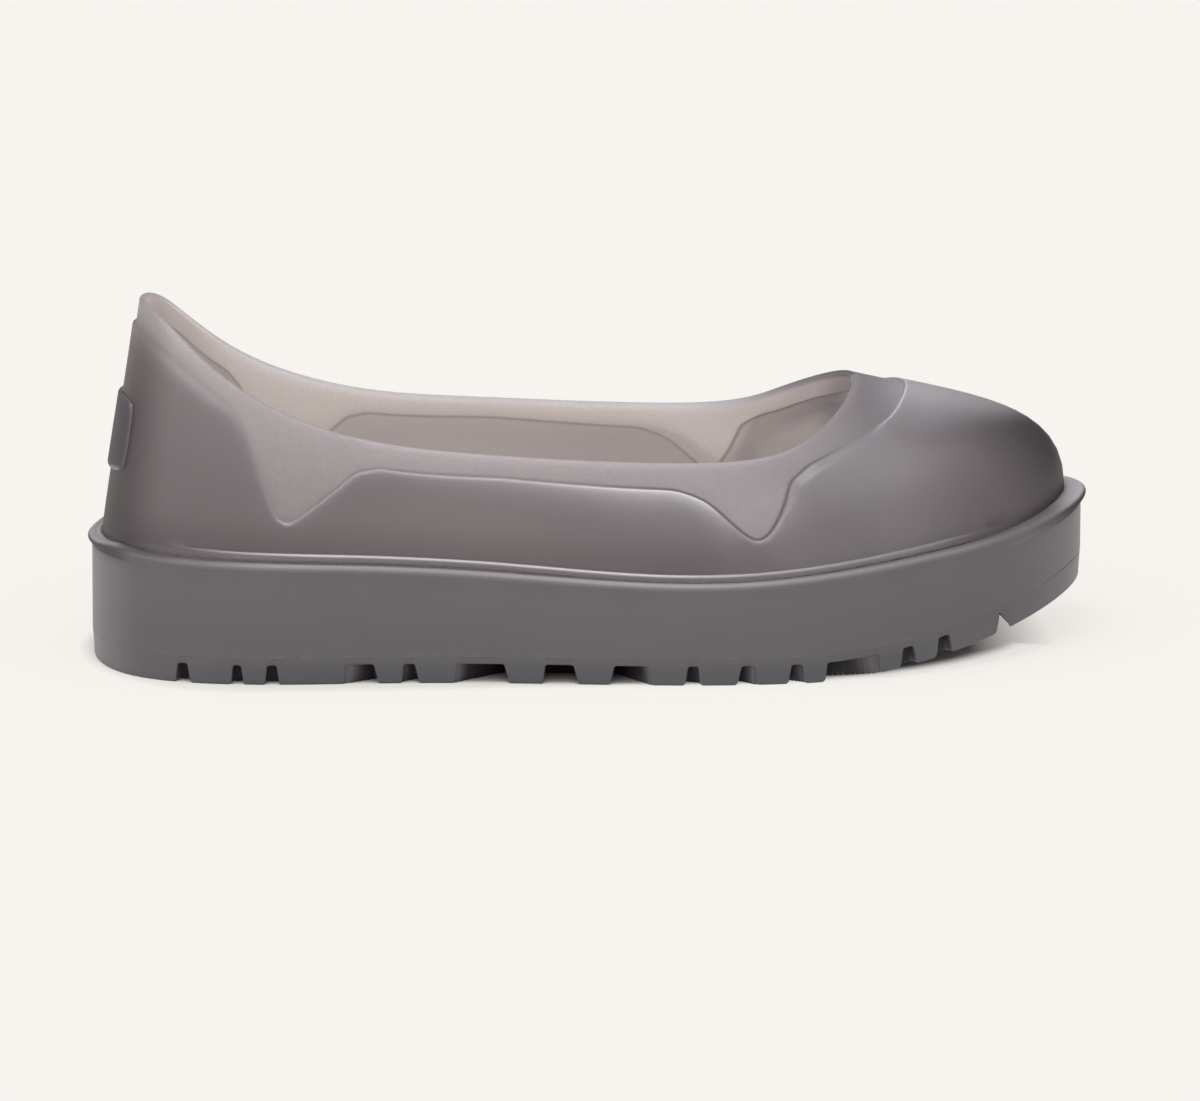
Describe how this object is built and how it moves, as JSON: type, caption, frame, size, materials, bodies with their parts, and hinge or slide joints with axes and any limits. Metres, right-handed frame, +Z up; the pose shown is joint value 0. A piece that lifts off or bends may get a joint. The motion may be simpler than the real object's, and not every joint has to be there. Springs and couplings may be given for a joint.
{
  "type": "overshoe",
  "caption": "Low moulded overshoe with a thin see-through upper, a frosted collar band and a thick lugged sole, worn over a soft boot.",
  "frame": {"origin": "on the floor under the middle of the shoe's box", "axes": "+X towards the toe, +Y towards the inner side of the foot, +Z up"},
  "size_m": [0.292, 0.1124, 0.1046],
  "materials": {
    "upper_rubber": "smoky see-through, satin, with a frosted band at the collar",
    "sole_rubber": "smoky, satin",
    "outsole_rubber": "smoky, matt",
    "plate_rubber": "smoky, satin, bare"
  },
  "bodies": {
    "root": {"upper": "upper_rubber", "sole": "sole_rubber", "outsole": "outsole_rubber", "heel_plate": "plate_rubber"}
  },
  "joints": []
}
